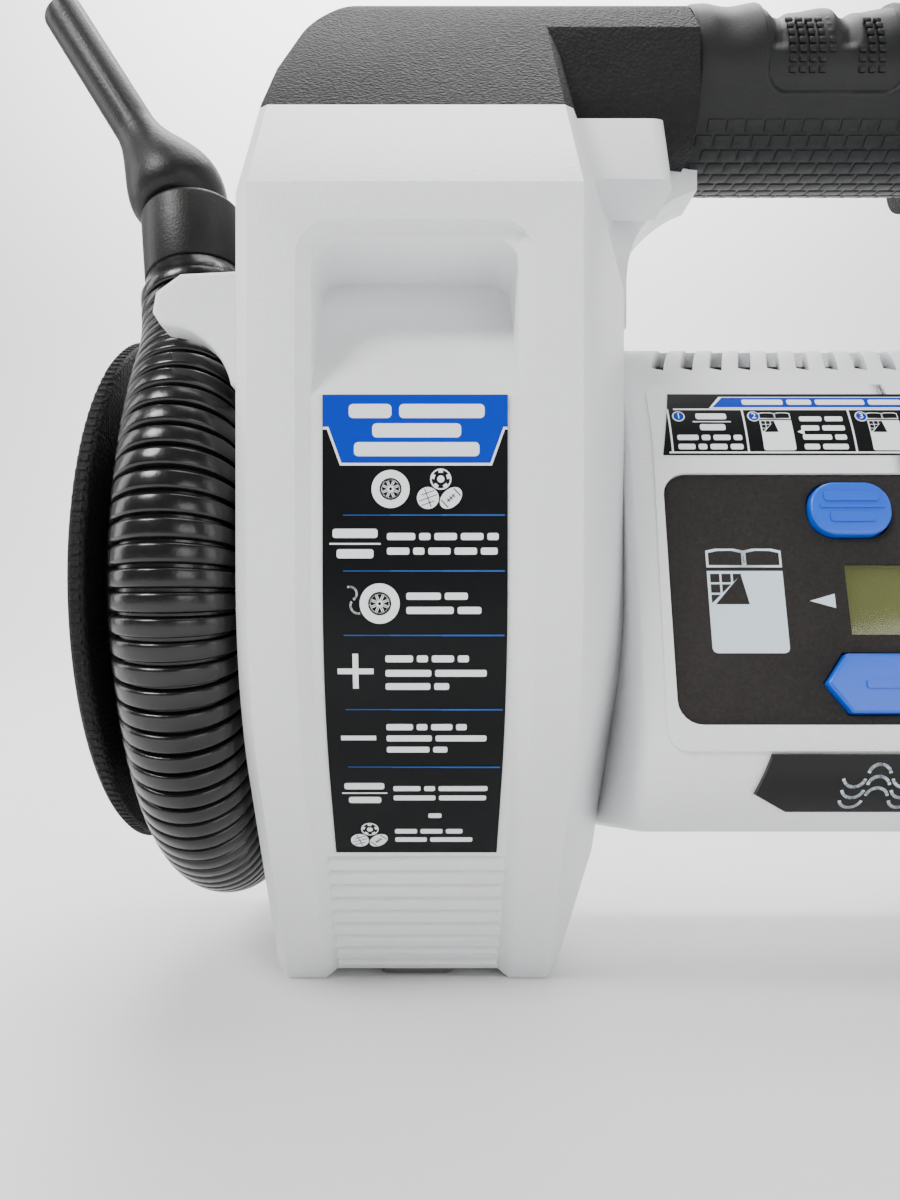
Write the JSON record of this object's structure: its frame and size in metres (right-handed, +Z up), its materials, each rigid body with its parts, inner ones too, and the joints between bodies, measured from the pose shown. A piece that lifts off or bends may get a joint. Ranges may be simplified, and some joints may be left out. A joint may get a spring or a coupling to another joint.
{
  "type": "portable tire inflator",
  "caption": "Cordless dual inflator: two white towers carry a control body, a black carry handle, a corrugated blower hose on a hub, and a battery.",
  "frame": {"origin": "on the resting surface, under the middle of the case, hub flange and battery together", "axes": "+Z up, -Y towards the control panel, +X towards the battery end"},
  "size_m": [0.3697, 0.1588, 0.254],
  "materials": {
    "white_shell": "satin moulded white",
    "black_shell": "coarse spark texture",
    "grip_rubber": "soft overmould with a brick pattern",
    "foot_rubber": "matte",
    "panel_texture": "fine texture",
    "blue_button": "satin",
    "release_button": "satin",
    "display_glass": "clear",
    "display_module": "olive reflective display",
    "label_film": "printed film",
    "nameplate_gloss": "gloss",
    "hose_plastic": "glossy corrugated",
    "nozzle_plastic": "satin",
    "circuit_board": "solder mask",
    "steel": "zinc plated",
    "brass": "turned",
    "aluminium": "cast and machined",
    "gear_plastic": "acetal",
    "air_line": "silicone tube",
    "cell_wrap": "shrink sleeve"
  },
  "bodies": {
    "housing": {"air_tube": "air_line", "battery_dock": "black_shell", "blower_motor": "steel", "blower_plate": "black_shell", "body_front_shell": "white_shell", "body_rear_shell": "white_shell", "button_switches": "circuit_board", "case_screws": "steel", "control_bezel": "panel_texture", "control_board": "circuit_board", "crank_bearing": "steel", "cylinder_head": "aluminium", "dock_terminals": "brass", "handle_core": "aluminium", "high_volume_hose": "hose_plastic", "hose_collar": "black_shell", "hose_cuff": "nozzle_plastic", "hose_hook": "white_shell", "hose_hub": "black_shell", "hub_flange": "black_shell", "hub_screws": "steel", "intake_grille": "black_shell", "lcd_module": "display_module", "lcd_window": "display_glass", "left_handle_shell": "black_shell", "left_tower_front": "white_shell", "left_tower_rear": "white_shell", "nameplate": "nameplate_gloss", "outlet_duct": "black_shell", "outlet_fitting": "brass", "pressure_sensor": "circuit_board", "pump_cylinder": "aluminium", "pump_frame": "aluminium", "pump_motor": "steel", "right_handle_shell": "black_shell", "right_tower_front": "white_shell", "right_tower_rear": "white_shell", "rubber_feet": "foot_rubber", "rubber_grip": "grip_rubber", "strip_label": "label_film", "tower_label": "label_film"},
    "power_mode_button": {"power_mode_button": "blue_button"},
    "start_stop_button": {"start_stop_button": "blue_button"},
    "minus_button": {"minus_button": "blue_button"},
    "plus_button": {"plus_button": "blue_button"},
    "battery": {"battery_base": "black_shell", "battery_cover": "black_shell", "battery_cells": "cell_wrap"},
    "latch": {"battery_latch": "release_button"},
    "crank": {"crank_gear": "gear_plastic"},
    "pinion": {"motor_pinion": "steel"},
    "rod": {"connecting_rod": "aluminium", "wobble_piston": "gear_plastic"},
    "fan": {"blower_impeller": "gear_plastic"},
    "nozzle_body": {"nozzle": "nozzle_plastic"}
  },
  "joints": [
    {"name": "power_mode_press", "type": "slide", "parent": "housing", "child": "power_mode_button", "axis": [0, 0.9736, -0.2284], "range_m": [0, 0.0012], "stiffness_N_per_m": 400},
    {"name": "start_stop_press", "type": "slide", "parent": "housing", "child": "start_stop_button", "axis": [0, 0.9736, -0.2284], "range_m": [0, 0.0012], "stiffness_N_per_m": 400},
    {"name": "minus_press", "type": "slide", "parent": "housing", "child": "minus_button", "axis": [0, 0.9736, -0.2284], "range_m": [0, 0.0012], "stiffness_N_per_m": 400},
    {"name": "plus_press", "type": "slide", "parent": "housing", "child": "plus_button", "axis": [0, 0.9736, -0.2284], "range_m": [0, 0.0012], "stiffness_N_per_m": 400},
    {"name": "battery_slide", "type": "slide", "parent": "housing", "child": "battery", "axis": [0, 0, 1], "range_m": [0, 0.08]},
    {"name": "latch_press", "type": "slide", "parent": "battery", "child": "latch", "axis": [-1, 0, 0], "range_m": [0, 0.0025], "stiffness_N_per_m": 500},
    {"name": "crank_spin", "type": "hinge", "parent": "housing", "child": "crank", "pos_m": [0.01895, 0.002, 0.104], "axis": [1, 0, 0], "continuous": true},
    {"name": "pinion_spin", "type": "hinge", "parent": "housing", "child": "pinion", "pos_m": [0.01895, 0.002, 0.07395], "axis": [1, 0, 0], "continuous": true},
    {"name": "rod_pivot", "type": "hinge", "parent": "crank", "child": "rod", "pos_m": [0.03095, 0.005, 0.104], "axis": [1, 0, 0], "continuous": true},
    {"name": "fan_spin", "type": "hinge", "parent": "housing", "child": "fan", "pos_m": [-0.15575, 0, 0.097], "axis": [1, 0, 0], "continuous": true},
    {"name": "nozzle_pull", "type": "slide", "parent": "housing", "child": "nozzle_body", "axis": [-0.1194, 0.189, 0.9747], "range_m": [0, 0.012]}
  ],
  "couplings": [
    {"joint": "pinion_spin", "follows": "crank_spin", "ratio": -3},
    {"joint": "rod_pivot", "follows": "crank_spin", "ratio": -1}
  ]
}
